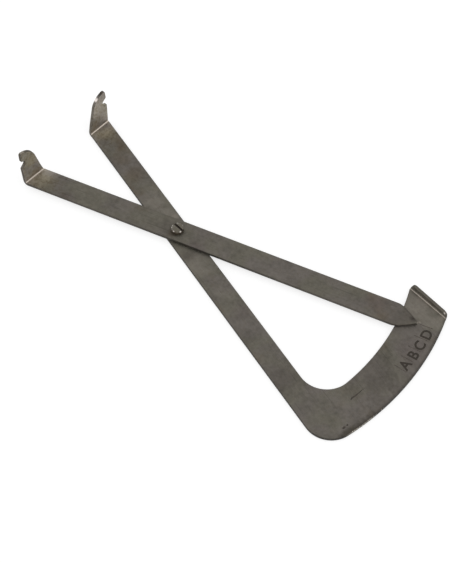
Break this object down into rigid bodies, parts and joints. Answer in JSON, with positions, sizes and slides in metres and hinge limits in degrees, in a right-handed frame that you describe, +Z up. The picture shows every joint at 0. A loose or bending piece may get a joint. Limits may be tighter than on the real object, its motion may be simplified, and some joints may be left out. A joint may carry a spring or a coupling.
{
  "type": "surgical caliper",
  "caption": "Flat steel caliper: two crossed arms on a slotted pivot screw, with bent-up hooked jaws at one end and a pointer over a lettered, curved scale band at the other.",
  "frame": {"origin": "on the pivot's axis, level with the underside of the lower arm, which lies on the table", "axes": "+Z up along the pivot's axis, +X halving the angle between the two arms on the side of the scale, +Y to the left of it, so the pointer arm's tip lies towards +X and +Y"},
  "size_m": [0.2214, 0.0958, 0.0258],
  "materials": {
    "sector_steel": "satin, worn and lightly tarnished",
    "pointer_steel": "satin, worn and lightly tarnished",
    "screw_steel": "turned and lightly polished"
  },
  "bodies": {
    "sector_arm": {"sector_arm": "sector_steel", "pivot_screw": "screw_steel"},
    "pointer_arm": {"pointer_arm": "pointer_steel"}
  },
  "joints": [
    {"name": "pivot", "type": "hinge", "parent": "sector_arm", "child": "pointer_arm", "pos_m": [0, 0, 0], "axis": [0, 0, 1], "range_deg": [-24, 5.2]}
  ]
}
